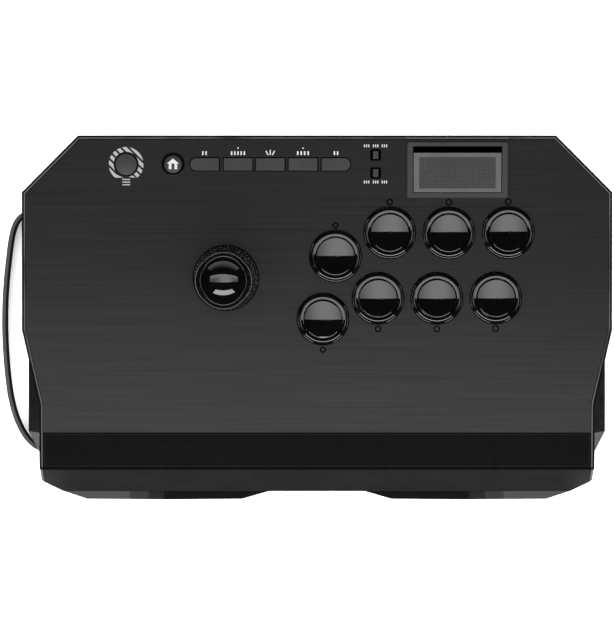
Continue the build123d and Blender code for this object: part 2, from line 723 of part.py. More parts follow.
with BuildPart() as washer_glide_ring:
    with BuildSketch(lever.offset(GLIDE_LIFT)):
        Circle(GLIDE_R)
        SlotOverall(2 * (WASHER_BORE_R + WASHER_SHIFT), 2 * WASHER_BORE_R, mode=Mode.SUBTRACT)
    extrude(amount=GLIDE_T)
save(washer_glide_ring, "washer_glide_ring")

with BuildPart() as dust_washer:
    with BuildSketch(lever.offset(2 * GLIDE_LIFT + GLIDE_T)):
        Circle(WASHER_R)
        Circle(WASHER_BORE_R, mode=Mode.SUBTRACT)
    extrude(amount=WASHER_T)
    top_face = dust_washer.faces().sort_by(lever_axis)[-1]
    chamfer(top_face.outer_wire().edges(), 0.5)
save(dust_washer, "dust_washer")

with BuildPart() as lever_actuator:
    with BuildSketch(lever.offset(ACTUATOR_BOTTOM)):
        Circle(ACTUATOR_R)
        Circle(SHAFT_R + 0.02, mode=Mode.SUBTRACT)
    extrude(amount=ACTUATOR_TOP - ACTUATOR_BOTTOM)
    with BuildSketch(lever.offset(ACTUATOR_TOP)):
        Circle(ACTUATOR_R - 0.9)
    extrude(amount=-SPRING_L, mode=Mode.SUBTRACT)
save(lever_actuator, "lever_actuator")

with BuildPart() as lever_spring:
    with BuildLine(lever.offset(ACTUATOR_TOP - SPRING_L + 2 * SPRING_WIRE_R)) as coil:
        Helix(pitch=SPRING_PITCH, height=SPRING_L - 3 * SPRING_WIRE_R, radius=SPRING_R)
    with BuildSketch(Plane(origin=coil.line @ 0, z_dir=coil.line % 0)):
        Circle(SPRING_WIRE_R)
    sweep(is_frenet=True)
save(lever_spring, "lever_spring")

with BuildPart() as retaining_clip:
    with BuildSketch(lever.offset(ACTUATOR_BOTTOM - 0.1)):
        Circle(SHAFT_R + 1.5)
        Circle(SHAFT_R + 0.02, mode=Mode.SUBTRACT)
        with Locations((SHAFT_R + 1, 0)):
            Rectangle(3, 3, mode=Mode.SUBTRACT)
    extrude(amount=-0.8)
save(retaining_clip, "retaining_clip")

with BuildPart() as restrictor_gate:
    with BuildSketch(lever.offset(-GATE_DEPTH)):
        RectangleRounded(LEVER_BODY_W, LEVER_BODY_W, 4)
        Rectangle(2 * GATE_HALF, 2 * GATE_HALF, mode=Mode.SUBTRACT)
    extrude(amount=GATE_T)
    with BuildSketch(lever.offset(GATE_T - GATE_DEPTH)):
        with GridLocations(LEVER_BODY_W - 8, LEVER_BODY_W - 8, 2, 2):
            Rectangle(6, 6)
    extrude(amount=GATE_DEPTH - GATE_T - LEVER_BODY_DEPTH)
save(restrictor_gate, "restrictor_gate")

with BuildPart() as lever_switches:
    with BuildSketch(lever.offset(GATE_T - GATE_DEPTH)):
        with PolarLocations(LEVER_SWITCH_FACE + SWITCH_SIZE[1] / 2, 4):
            Rectangle(SWITCH_SIZE[1], SWITCH_SIZE[0])
    extrude(amount=SWITCH_SIZE[2])
save(lever_switches, "lever_switches")

# ---------------------------------------------------------------- small controls

with BuildPart() as function_pcb:
    with BuildSketch(level(-BOARD_DEPTH)):
        with Locations(((BOARD_X[0] + BOARD_X[1]) / 2, (BOARD_Y[0] + BOARD_Y[1]) / 2)):
            Rectangle(BOARD_X[1] - BOARD_X[0], BOARD_Y[1] - BOARD_Y[0])
    extrude(amount=-BOARD_T)
save(function_pcb, "function_pcb")

for index in range(len(FUNCTION_XS)):
    with BuildPart() as function_button:
        with BuildSketch(level(FLANGE_TOP)):
            add(function_cap(index))
        extrude(amount=CAP_RISE - FLANGE_TOP)
        fillet(function_button.faces().sort_by(panel_normal)[-1].edges(), 0.35)
        with BuildSketch(level(FLANGE_TOP)):
            add(function_cap(index, CAP_FLANGE))
        extrude(amount=-CAP_FLANGE)
        with BuildSketch(level(FLANGE_TOP - CAP_FLANGE)):
            with Locations((FUNCTION_XS[index], FUNCTION_Y)):
                Circle(STUD_R)
        extrude(amount=CAP_BOTTOM - FLANGE_TOP + CAP_FLANGE)
    save(function_button, f"function_button_{index + 1}")


def dome_profile(radius, flange_r, flange_top):
    """Half profile of a small domed button, for a revolve about its axis."""
    with BuildSketch() as profile:
        with BuildLine():
            ThreePointArc((0, DOME_RISE), (radius * 0.6, DOME_RISE - 0.35), (radius - 0.3, DOME_EDGE + 0.25))
            Polyline(
                (radius - 0.3, DOME_EDGE + 0.25),
                (radius, DOME_EDGE),
                (radius, flange_top),
                (flange_r, flange_top),
                (flange_r, flange_top - CAP_FLANGE),
                (STUD_R, flange_top - CAP_FLANGE),
                (STUD_R, CAP_BOTTOM),
                (0, CAP_BOTTOM),
                (0, DOME_RISE),
            )
        make_face()
    return profile.sketch


with BuildPart() as options_button:
    with BuildSketch(upright(OPTIONS_SPOT)):
        add(dome_profile(OPTIONS_R, OPTIONS_R + CAP_FLANGE, FLANGE_TOP))
    revolve(axis=normal_axis(OPTIONS_SPOT))
save(options_button, "options_button")

with BuildPart() as home_button:
    with BuildSketch(upright(HOME_SPOT)):
        add(dome_profile(HOME_R, HOME_BARREL_R, HOME_FLANGE_TOP))
    revolve(axis=normal_axis(HOME_SPOT))
save(home_button, "home_button")

with BuildPart() as home_bezel:
    with BuildSketch(level(0)):
        with Locations(HOME_SPOT):
            Circle(HOME_BEZEL_R)
    extrude(amount=CAP_RISE)
    fillet(home_bezel.faces().sort_by(panel_normal)[-1].edges(), 0.4)
    with BuildSketch(level(0)):
        with Locations(HOME_SPOT):
            Circle(HOME_BARREL_R)
    extrude(amount=-HOME_BARREL_L)
    with BuildSketch(level(-HOME_BARREL_L)):
        with Locations(HOME_SPOT):
            Circle(HOME_R + RUN_GAP)
    extrude(amount=HOME_BARREL_L + CAP_RISE, mode=Mode.SUBTRACT)
save(home_bezel, "home_bezel")

with BuildPart() as tact_switches:
    spots = [(x, FUNCTION_Y) for x in FUNCTION_XS] + [OPTIONS_SPOT, HOME_SPOT]
    with BuildSketch(level(-BOARD_DEPTH)):
        with Locations(*spots):
            Rectangle(6, 6)
    extrude(amount=TACT_H)
    with BuildSketch(level(TACT_H - BOARD_DEPTH)):
        with Locations(*spots):
            Circle(1.6)
    extrude(amount=TACT_NUB)
    # the touchpad's click switch, on its own tray
    with BuildSketch(level(TRAY_T - BEZEL_DEPTH)):
        with Locations(CLICK_SPOT):
            Rectangle(6, 6)
    extrude(amount=TACT_H)
    with BuildSketch(level(TRAY_T - BEZEL_DEPTH + TACT_H)):
        with Locations(CLICK_SPOT):
            Circle(1.6)
    extrude(amount=TACT_NUB)
save(tact_switches, "tact_switches")

for number, spot in enumerate(SLIDE_SPOTS, start=1):
    with BuildPart() as slide_knob:
        with BuildSketch(level(SLIDE_FLANGE_TOP)):
            with Locations(spot):
                Rectangle(*SLIDE_KNOB)
        extrude(amount=SLIDE_RISE - SLIDE_FLANGE_TOP)
        chamfer(slide_knob.faces().sort_by(panel_normal)[-1].edges(), 0.3)
        with BuildSketch(level(SLIDE_FLANGE_TOP)):
            with Locations(spot):
                Rectangle(SLIDE_FLANGE[0], SLIDE_FLANGE[1])
        extrude(amount=SLIDE_BOTTOM - SLIDE_FLANGE_TOP)
    save(slide_knob, f"slide_knob_{number}")

with BuildPart() as slide_switch_bodies:
    with BuildSketch(level(-BOARD_DEPTH)):
        with Locations(*SLIDE_SPOTS):
            Rectangle(10, 6.5)
    extrude(amount=BOARD_DEPTH + SLIDE_BOTTOM - RUN_GAP)
save(slide_switch_bodies, "slide_switch_bodies")

with BuildPart() as led_light_pipes:
    with BuildSketch(level(-BOARD_DEPTH)):
        with Locations(*LED_SPOTS):
            Circle(LED_R)
    extrude(amount=BOARD_DEPTH + 0.1)
save(led_light_pipes, "led_light_pipes")

# ---------------------------------------------------------------- touchpad

with BuildPart() as touchpad_bezel:
    with BuildSketch(level(0)):
        with Locations(TOUCH_SPOT):
            RectangleRounded(*BEZEL_SIZE, 1.6)
    extrude(amount=BEZEL_RISE)
    chamfer(touchpad_bezel.faces().sort_by(panel_normal)[-1].edges(), 0.5)
    with BuildSketch(level(0)):
        with Locations(TOUCH_SPOT):
            Rectangle(TOUCH_CUTOUT[0] - 2 * FIT_GAP, TOUCH_CUTOUT[1] - 2 * FIT_GAP)
    extrude(amount=-BEZEL_DEPTH)
    with BuildSketch(level(TRAY_T - BEZEL_DEPTH)):
        with Locations(TOUCH_SPOT):
            Rectangle(*TOUCH_OPENING)
    extrude(amount=BEZEL_DEPTH + BEZEL_RISE, mode=Mode.SUBTRACT)
    # bearings for the pad's hinge pins
    with BuildSketch(hinge_plane):
        Circle(HINGE_R + HINGE_PLAY)
    extrude(amount=TOUCH_OPENING[0] / 2 + HINGE_L + FIT_GAP, both=True, mode=Mode.SUBTRACT)
save(touchpad_bezel, "touchpad_bezel")

with BuildPart() as touchpad:
    with BuildSketch(level(PAD_TOP)):
        with Locations((TOUCH_SPOT[0], PAD_FRONT_Y)):
            Rectangle(*TOUCH_PAD, align=(Align.CENTER, Align.MIN))
    extrude(amount=-TOUCH_PAD_T)
    chamfer(touchpad.faces().sort_by(panel_normal)[-1].edges(), 0.3)
    # the hinge bar along its back edge
    with BuildSketch(level(HINGE_BAR_TOP)):
        with Locations((TOUCH_SPOT[0], PAD_FRONT_Y)):
            Rectangle(TOUCH_PAD[0], HINGE_Y - PAD_FRONT_Y + HINGE_R, align=(Align.CENTER, Align.MIN))
    extrude(amount=PAD_TOP - TOUCH_PAD_T - HINGE_BAR_TOP)
    with BuildSketch(hinge_plane):
        Circle(HINGE_R)
    extrude(amount=TOUCH_PAD[0] / 2 + HINGE_L, both=True)
save(touchpad, "touchpad")

# ---------------------------------------------------------------- electronics and rear sockets

with BuildPart() as main_pcb:
    with BuildSketch(Plane.XY.offset(MAIN_BOARD_Z)):
        with Locations(MAIN_BOARD_SPOT):
            Rectangle(*MAIN_BOARD)
    extrude(amount=BOARD_T)
    # the processor and two connectors
    with BuildSketch(Plane.XY.offset(MAIN_BOARD_Z + BOARD_T)):
        with Locations(MAIN_BOARD_SPOT):
            with Locations((10, -4)):
                Rectangle(9, 9)
            with Locations((-25, -15), (30, -15)):
                Rectangle(24, 6)
    extrude(amount=2.2)
save(main_pcb, "main_pcb")

usb_mouth = Plane.XZ.offset(-BACK_Y + WALL / 2)
with BuildPart() as usb_socket:
    with BuildSketch(usb_mouth):
        with Locations((USB_X, USB_Z)):
            RectangleRounded(8.94, 3.26, 1.5)
    extrude(amount=USB_L)
    with BuildSketch(usb_mouth):
        with Locations((USB_X, USB_Z)):
            RectangleRounded(8.34, 2.66, 1.2)
    extrude(amount=USB_L - 1.2, mode=Mode.SUBTRACT)
    with BuildSketch(usb_mouth.offset(USB_L)):
        with Locations((USB_X, USB_Z)):
            Rectangle(6.7, 0.7)
    extrude(amount=1.4 - USB_L)
save(usb_socket, "usb_socket")

jack_mouth = Plane.XZ.offset(-BACK_Y)
with BuildPart() as headset_jack:
    with BuildSketch(jack_mouth):
        with Locations((JACK_X, JACK_Z)):
            Circle(JACK_HOLE_R - FIT_GAP)
    extrude(amount=JACK_L)
    with BuildSketch(jack_mouth.offset(WALL + FIT_GAP)):
        with Locations((JACK_X, JACK_Z)):
            Rectangle(7, 2 * (JACK_Z - MAIN_BOARD_Z - BOARD_T))
    extrude(amount=JACK_L - WALL - FIT_GAP)
    with BuildSketch(jack_mouth):
        with Locations((JACK_X, JACK_Z)):
            Circle(JACK_BORE_R)
    extrude(amount=JACK_BORE_DEPTH, mode=Mode.SUBTRACT)
save(headset_jack, "headset_jack")
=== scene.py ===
"""Looks of the arcade joystick panel: finishes, fine surface detail, printed marks, light and camera."""
import json
import math
import random

import bpy
from mathutils import Matrix, Quaternion, Vector


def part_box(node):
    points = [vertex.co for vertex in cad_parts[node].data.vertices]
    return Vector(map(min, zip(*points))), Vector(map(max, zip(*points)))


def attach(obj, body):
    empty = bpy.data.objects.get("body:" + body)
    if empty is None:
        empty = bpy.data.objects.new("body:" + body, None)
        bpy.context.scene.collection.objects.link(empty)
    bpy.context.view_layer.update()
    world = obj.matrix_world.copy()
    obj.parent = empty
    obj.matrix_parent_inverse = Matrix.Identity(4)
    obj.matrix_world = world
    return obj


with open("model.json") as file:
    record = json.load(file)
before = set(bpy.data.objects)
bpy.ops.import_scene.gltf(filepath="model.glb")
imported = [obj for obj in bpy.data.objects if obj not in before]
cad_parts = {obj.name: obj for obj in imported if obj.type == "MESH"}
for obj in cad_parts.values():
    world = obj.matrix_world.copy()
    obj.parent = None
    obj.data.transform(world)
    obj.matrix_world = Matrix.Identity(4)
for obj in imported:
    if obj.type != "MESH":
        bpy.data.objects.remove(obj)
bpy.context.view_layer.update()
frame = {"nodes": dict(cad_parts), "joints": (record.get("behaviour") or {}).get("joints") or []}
nodes = frame["nodes"]
joints = {joint["name"]: joint for joint in frame["joints"]}
scene = bpy.context.scene

MM = 0.001
PANEL_HEIGHT = 45 * MM  # the panel's surface over the floor, at the middle of the frame

# ---------------------------------------------------------------- places on the panel

panel_normal = -Vector(joints["button_1_press"]["axis"])
panel_up = panel_normal.cross(Vector((1, 0, 0)))
panel = Matrix(
    (
        (1, 0, panel_normal.x, 0),
        (0, panel_up.y, panel_normal.y, 0),
        (0, panel_up.z, panel_normal.z, PANEL_HEIGHT),
        (0, 0, 0, 1),
    )
)


def panel_box(node):
    """Lowest and highest corner of a node in panel coordinates: X, up the panel, and out of it."""
    to_panel = panel.inverted()
    corners = [to_panel @ vertex.co for vertex in nodes[node].data.vertices]
    low = Vector([min(corner[i] for corner in corners) for i in range(3)])
    high = Vector([max(corner[i] for corner in corners) for i in range(3)])
    return low, high


def spot(node):
    """The middle of a node on the panel's surface, in panel coordinates."""
    low, high = panel_box(node)
    middle = (low + high) / 2
    return Vector((middle.x, middle.y, 0))


# ---------------------------------------------------------------- material helpers


def new_material(name):
    material = bpy.data.materials.new(name)
    material.use_nodes = True
    tree = material.node_tree
    return material, tree, tree.nodes["Principled BSDF"]


def stretched(tree, scale):
    """Object coordinates, multiplied along each axis."""
    place = tree.nodes.new("ShaderNodeTexCoord")
    mapping = tree.nodes.new("ShaderNodeMapping")
    mapping.inputs["Scale"].default_value = scale
    tree.links.new(place.outputs["Object"], mapping.inputs["Vector"])
    return mapping.outputs["Vector"]


def noise(tree, size, detail=3.0, stretch=(1, 1, 1)):
    """Noise whose features are about size metres across, longer where stretch is small."""
    texture = tree.nodes.new("ShaderNodeTexNoise")
    texture.inputs["Scale"].default_value = 1 / size
    texture.inputs["Detail"].default_value = detail
    tree.links.new(stretched(tree, stretch), texture.inputs["Vector"])
    return texture.outputs["Fac"]


def ranged(tree, value, start, end, low, high, interpolation="LINEAR"):
    """A value between start and end, mapped onto low to high."""
    node = tree.nodes.new("ShaderNodeMapRange")
    node.interpolation_type = interpolation
    node.inputs["From Min"].default_value = start
    node.inputs["From Max"].default_value = end
    node.inputs["To Min"].default_value = low
    node.inputs["To Max"].default_value = high
    tree.links.new(value, node.inputs["Value"])
    return node.outputs["Result"]


def spread(tree, value, low, high):
    """The middle of a noise's range, spread between two values."""
    return ranged(tree, value, 0.3, 0.7, low, high)


def worked_out(tree, operation, first, second=None):
    """The result of a math node on an output, with a number or another output as its second input."""
    node = tree.nodes.new("ShaderNodeMath")
    node.operation = operation
    tree.links.new(first, node.inputs[0])
    if isinstance(second, bpy.types.NodeSocket):
        tree.links.new(second, node.inputs[1])
    elif second is not None:
        node.inputs[1].default_value = second
    return node.outputs[0]


def mixed(tree, value, first, second):
    """A colour between two, by a value from 0 to 1. Either may be an output."""
    node = tree.nodes.new("ShaderNodeMix")
    node.data_type = "RGBA"
    tree.links.new(value, node.inputs[0])
    for socket, colour in ((node.inputs[6], first), (node.inputs[7], second)):
        if isinstance(colour, bpy.types.NodeSocket):
            tree.links.new(colour, socket)
        else:
            socket.default_value = (*colour, 1)
    return node.outputs[2]


def bump(tree, height, depth, before=None):
    """A normal from a height output, where 1 is depth metres."""
    node = tree.nodes.new("ShaderNodeBump")
    node.inputs["Distance"].default_value = depth
    tree.links.new(height, node.inputs["Height"])
    if before is not None:
        tree.links.new(before, node.inputs["Normal"])
    return node.outputs["Normal"]


def shade(colour, factor):
    return tuple(channel * factor for channel in colour)


def above_panel(tree):
    """1 on and above the panel's surface, 0 from a little way below it."""
    place = tree.nodes.new("ShaderNodeTexCoord")
    height = tree.nodes.new("ShaderNodeVectorMath")
    height.operation = "DOT_PRODUCT"
    height.inputs[1].default_value = panel_normal
    tree.links.new(place.outputs["Object"], height.inputs[0])
    surface = panel_normal.z * PANEL_HEIGHT
    return ranged(tree, height.outputs["Value"], surface - 0.2 * MM, surface + 0.05 * MM, 0, 1)


MOTTLE = 0.12  # how far moulded plastic's clouding moves its colour, as a share of it
BLACK = (0.001, 0.001, 0.001)


def moulded(name, colour, roughness, grain=0.25 * MM, depth=0.01 * MM, specular=0.5, painted_slot_shade=False):
    """Moulded plastic: faint clouding, uneven gloss and a fine skin grain.

    Where asked, it goes black and loses its reflection under the panel's surface: painted shade, so the
    slots round the controls stay dark.
    """
    material, tree, shader = new_material(name)
    clouds = spread(tree, noise(tree, 18 * MM), 0, 1)
    base = mixed(tree, clouds, shade(colour, 1 - MOTTLE), shade(colour, 1 + MOTTLE))
    if painted_slot_shade:
        # painted shade: black colour and no reflection below the panel's surface, in the slots round the
        # controls
        above = above_panel(tree)
        base = mixed(tree, above, BLACK, base)
        tree.links.new(worked_out(tree, "MULTIPLY", above, specular), shader.inputs["Specular IOR Level"])
    gloss = spread(tree, noise(tree, 6 * MM), roughness - 0.03, roughness + 0.03)
    skin = bump(tree, noise(tree, grain, 2), depth)
    tree.links.new(base, shader.inputs["Base Color"])
    tree.links.new(gloss, shader.inputs["Roughness"])
    tree.links.new(skin, shader.inputs["Normal"])
    shader.inputs["Specular IOR Level"].default_value = specular
    return material


def polished(name, colour, roughness=0.035, index=1.5):
    """Polished plastic: a clear reflection with a trace of polishing haze and long, shallow waviness."""
    material, tree, shader = new_material(name)
    clouds = spread(tree, noise(tree, 9 * MM), 0, 1)
    base = mixed(tree, clouds, shade(colour, 0.7), shade(colour, 1.3))
    haze = spread(tree, noise(tree, 3 * MM, 6), roughness * 0.7, roughness * 1.4)
    waves = bump(tree, noise(tree, 7 * MM, 1), 0.004 * MM)
    tree.links.new(base, shader.inputs["Base Color"])
    tree.links.new(haze, shader.inputs["Roughness"])
    tree.links.new(waves, shader.inputs["Normal"])
    shader.inputs["IOR"].default_value = index
    return material


def brushed(name, colour, roughness, specular):
    """Dark brushed sheet: long streaks along X over a fine grain that spreads light across them."""
    material, tree, shader = new_material(name)
    streak = noise(tree, 1.1 * MM, 4, (0.012, 1, 1))
    fine = noise(tree, 0.3 * MM, 3, (0.01, 1, 1))
    cloud = noise(tree, 60 * MM, 2, (0.5, 1, 1))
    tone = mixed(tree, spread(tree, cloud, 0, 1), shade(colour, 0.94), shade(colour, 1.06))
    base = mixed(tree, spread(tree, streak, 0, 1), shade(colour, 0.74), tone)
    gloss = spread(tree, fine, roughness - 0.07, roughness + 0.07)
    sheen = spread(tree, streak, 0.9 * specular, 1.1 * specular)
    grain = bump(tree, fine, 0.006 * MM, bump(tree, streak, 0.008 * MM))
    tree.links.new(base, shader.inputs["Base Color"])
    tree.links.new(gloss, shader.inputs["Roughness"])
    tree.links.new(grain, shader.inputs["Normal"])
    tree.links.new(sheen, shader.inputs["Specular IOR Level"])
    return material


def bare_metal(name, colour, roughness, stretch=(1, 1, 1)):
    """Bare or plated metal with fine handling marks."""
    material, tree, shader = new_material(name)
    marks = noise(tree, 0.8 * MM, 5, stretch)
    base = mixed(tree, spread(tree, marks, 0, 1), shade(colour, 0.85), colour)
    tree.links.new(base, shader.inputs["Base Color"])
    tree.links.new(spread(tree, marks, roughness - 0.08, roughness + 0.08), shader.inputs["Roughness"])
    tree.links.new(bump(tree, marks, 0.006 * MM), shader.inputs["Normal"])
    shader.inputs["Metallic"].default_value = 1
    return material


def board(name, mask, track):
    """Circuit board: solder mask with the raised paths of its tracks."""
    material, tree, shader = new_material(name)
    cells = tree.nodes.new("ShaderNodeTexBrick")
    cells.inputs["Scale"].default_value = 1 / (9 * MM)
    cells.inputs["Mortar Size"].default_value = 0.03
    cells.inputs["Color1"].default_value = (*mask, 1)
    cells.inputs["Color2"].default_value = (*shade(mask, 0.8), 1)
    cells.inputs["Mortar"].default_value = (*track, 1)
    tree.links.new(stretched(tree, (1, 1, 1)), cells.inputs["Vector"])
    tree.links.new(cells.outputs["Color"], shader.inputs["Base Color"])
    tree.links.new(spread(tree, noise(tree, 2 * MM), 0.3, 0.42), shader.inputs["Roughness"])
    tree.links.new(bump(tree, cells.outputs["Fac"], 0.03 * MM), shader.inputs["Normal"])
    return material


def ink(name, colour, roughness, specular=0.5):
    """Screen-printed ink: slightly uneven cover, faintly pitted."""
    material, tree, shader = new_material(name)
    cover = noise(tree, 0.35 * MM, 4)
    base = mixed(tree, spread(tree, cover, 0, 1), shade(colour, 0.85), colour)
    tree.links.new(base, shader.inputs["Base Color"])
    tree.links.new(spread(tree, cover, roughness - 0.05, roughness + 0.05), shader.inputs["Roughness"])
    tree.links.new(bump(tree, cover, 0.004 * MM), shader.inputs["Normal"])
    shader.inputs["Specular IOR Level"].default_value = specular
    return material


def lit(name, colour, strength):
    """A light pipe's end: clear plastic that glows a little."""
    material, tree, shader = new_material(name)
    haze = noise(tree, 0.3 * MM, 3)
    tree.links.new(mixed(tree, haze, shade(colour, 0.8), colour), shader.inputs["Base Color"])
    tree.links.new(spread(tree, haze, 0.15, 0.3), shader.inputs["Roughness"])
    shader.inputs["Emission Color"].default_value = (*colour, 1)
    shader.inputs["Emission Strength"].default_value = strength
    return material


finishes = {
    "brushed_plate": brushed("brushed_plate", (0.034, 0.035, 0.0365), 0.42, 0.5),
    "case_gloss": moulded("case_gloss", (0.003, 0.003, 0.003), 0.22, depth=0.002 * MM),
    "case_satin": moulded("case_satin", (0.019, 0.0198, 0.0206), 0.4),
    "strip_texture": moulded("strip_texture", (0.0055, 0.0055, 0.0057), 0.5, specular=0.14),
    "button_gloss": polished("button_gloss", BLACK),
    "ball_gloss": polished("ball_gloss", BLACK),
    "control_grey": moulded("control_grey", (0.038, 0.039, 0.0395), 0.42, painted_slot_shade=True),
    "pad_face": moulded("pad_face", (0.026, 0.026, 0.0265), 0.5, grain=0.4 * MM, painted_slot_shade=True),
    "washer_texture": moulded("washer_texture", (0.002, 0.002, 0.002), 0.5, grain=0.5 * MM, specular=0.15),
    "rubber": moulded("rubber", (0.014, 0.014, 0.015), 0.62, grain=0.5 * MM, depth=0.03 * MM, specular=0.4),
    "steel": bare_metal("steel", (0.5, 0.5, 0.51), 0.38, (0.08, 1, 1)),
    "pom_black": moulded("pom_black", (0.012, 0.012, 0.012), 0.38),
    "pom_white": moulded("pom_white", (0.62, 0.61, 0.58), 0.38),
    "circuit_board": board("circuit_board", (0.012, 0.07, 0.03), (0.05, 0.2, 0.09)),
    "switch_black": moulded("switch_black", (0.02, 0.02, 0.021), 0.45),
    "socket_metal": bare_metal("socket_metal", (0.62, 0.61, 0.6), 0.3),
    "light_pipe": lit("light_pipe", (0.75, 0.8, 0.85), 0.6),
}
# finishes of the added pieces, and a grey of the home button's own, which stays grey below the panel
frame_grey = moulded("frame_grey", (0.1, 0.1, 0.102), 0.38, specular=1.0, painted_slot_shade=True)
grain_grey = moulded("grain_grey", (0.05, 0.05, 0.05), 0.3, specular=0.6)
light_ink = ink("light_ink", (0.5, 0.5, 0.5), 0.5)
white_ink = ink("white_ink", (0.85, 0.85, 0.85), 0.45)
dark_ink = ink("dark_ink", BLACK, 0.5, specular=0.05)
home_grey = moulded("home_grey", (0.036, 0.037, 0.0375), 0.4)

for node in nodes.values():
    for slot in node.material_slots:
        slot.material = finishes[slot.material.name]
for slot in nodes["home_button"].material_slots:
    slot.material = home_grey

SHARP = math.radians(40)  # an edge that turns more than this is rounded


def round_edges(node, width):
    """Round a CAD node's sharp edges."""
    weld = nodes[node].modifiers.new("weld", "WELD")
    weld.merge_threshold = 0.001 * MM
    edges = nodes[node].modifiers.new("edges", "BEVEL")
    edges.width = width
    edges.segments = 3
    edges.limit_method = "ANGLE"
    edges.angle_limit = SHARP


round_edges("carry_strap", 0.6 * MM)

# ---------------------------------------------------------------- mesh helpers


def new_piece(name, corners, faces, material, body="root"):
    """A mesh piece that rides on a body. Corners are in metres, in panel coordinates."""
    mesh = bpy.data.meshes.new(name)
    mesh.from_pydata([panel @ Vector(corner) for corner in corners], [], faces)
    mesh.validate()
    mesh.update()
    mesh.materials.append(material)
    piece = bpy.data.objects.new(name, mesh)
    scene.collection.objects.link(piece)
    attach(piece, body)
    return piece


def prisms(name, outlines, low, high, material, body="root"):
    """Flat closed plates, one for each outline (points in order, anticlockwise seen from above)."""
    corners, faces = [], []
    for outline in outlines:
        first, count = len(corners), len(outline)
        corners += [(x, y, low) for x, y in outline] + [(x, y, high) for x, y in outline]
        faces.append([first + count + i for i in range(count)])
        faces.append([first + i for i in reversed(range(count))])
        for i in range(count):
            j = (i + 1) % count
            faces.append([first + i, first + j, first + count + j, first + count + i])
    return new_piece(name, corners, faces, material, body)


def studs(name, spots, half, low, high, top, material, body="root"):
    """Small four-sided pyramids, cut flat. half is half a side of the base, top the flat's share of it."""
    corners, faces = [], []
    square = [math.radians(45 + 90 * i) for i in range(4)]
    reach = half * math.sqrt(2)
    for x, y in spots:
        base = len(corners)
        flat = base + 4
        corners += [(x + reach * math.cos(a), y + reach * math.sin(a), low) for a in square]
        corners += [(x + top * reach * math.cos(a), y + top * reach * math.sin(a), high) for a in square]
        faces.append([base + i for i in reversed(range(4))])
        faces.append([flat + i for i in range(4)])
        faces += [[base + i, base + (i + 1) % 4, flat + (i + 1) % 4, flat + i] for i in range(4)]
    return new_piece(name, corners, faces, material, body)


def grid(x, y, columns, rows, pitch):
    """Spots in rows and columns round a middle."""
    return [
        (x + (column - (columns - 1) / 2) * pitch, y + (row - (rows - 1) / 2) * pitch)
        for row in range(rows)
        for column in range(columns)
    ]


def rectangle(x, y, width, height):
    return [
        (x - width / 2, y - height / 2),
        (x + width / 2, y - height / 2),
        (x + width / 2, y + height / 2),
        (x - width / 2, y + height / 2),
    ]


def stroke(start, end, width):
    """A bar from one point to another."""
    along = Vector((end[0] - start[0], end[1] - start[1])).normalized()
    side = Vector((-along.y, along.x)) * width / 2
    a, b = Vector(start), Vector(end)
    return [tuple(a - side), tuple(b - side), tuple(b + side), tuple(a + side)]


# ---------------------------------------------------------------- textures that are real shape

STRIP_PITCH = 1.35 * MM
STRIP_MARGIN = 1.0 * MM  # bare edge round the strip's pyramids
STRIP_STUD = 0.47 * STRIP_PITCH  # half a side of one pyramid
STRIP_FLAT = 0.25
STRIP_ROOT, STRIP_TIP = 0.05 * MM, 0.28 * MM  # below and above the strip's face


def strip_knurl():
    """The palm strip's mesh of small pyramids."""
    low, high = panel_box("palm_strip")
    columns = int((high.x - low.x - 2 * STRIP_MARGIN) / STRIP_PITCH)
    rows = int((high.y - low.y - 2 * STRIP_MARGIN) / STRIP_PITCH)
    middle = (low + high) / 2
    spots = grid(middle.x, middle.y, columns, rows, STRIP_PITCH)
    base, tip = high.z - STRIP_ROOT, high.z + STRIP_TIP
    plastic = finishes["strip_texture"]
    studs("strip_knurl", spots, STRIP_STUD, base, tip, STRIP_FLAT, plastic)


WASHER_INNER, WASHER_MARGIN = 8 * MM, 0.9 * MM  # radius of the first ring, bare edge outside the last
WASHER_PITCH = 1.25 * MM
WASHER_SCATTER = 0.3  # how far a grain leaves its ring, in pitches
WASHER_ROOT, WASHER_TIP = 0.03 * MM, 0.2 * MM
WASHER_FLAT = 0.5
GRAIN_HALF, GRIT_HALF = 0.42 * MM, 0.3 * MM  # half a side of the larger and the smaller grains


def washer_knurl():
    """Rings of small uneven grains on the dust washer."""
    low, high = panel_box("dust_washer")
    middle = (low + high) / 2
    outer = (high.x - low.x) / 2 - WASHER_MARGIN
    chance = random.Random(4)
    spots = []
    for ring in range(int((outer - WASHER_INNER) / WASHER_PITCH) + 1):
        radius = WASHER_INNER + ring * WASHER_PITCH
        count = int(2 * math.pi * radius / WASHER_PITCH)
        for i in range(count):
            turn = 2 * math.pi * (i + chance.uniform(0, 0.7)) / count
            reach = radius + chance.uniform(-WASHER_SCATTER, WASHER_SCATTER) * WASHER_PITCH
            spots.append((middle.x + reach * math.cos(turn), middle.y + reach * math.sin(turn)))
    chance.shuffle(spots)
    base, tip = high.z - WASHER_ROOT, high.z + WASHER_TIP
    grains = (("washer_grain", spots[::2], GRAIN_HALF), ("washer_grit", spots[1::2], GRIT_HALF))
    for name, share, half in grains:
        studs(name, share, half, base, tip, WASHER_FLAT, grain_grey, "washer")


FRAME_WIDTH = 53.6 * MM
PAD_DEPTH, PAD_MARGIN = 24.5 * MM, 0.35 * MM  # the pad's face, front to back, and its bare edge there
FRAME_ROOT, FRAME_RISE, FRAME_SLOPE = 0.05 * MM, 0.22 * MM, 0.25 * MM
FIELD_SIZE = (46.7 * MM, 19.0 * MM)
DOT_PITCH, DOT_HALF = 1.05 * MM, 0.31 * MM
DOT_ROOT, DOT_TIP = 0.03 * MM, 0.12 * MM
DOT_FLAT = 0.5


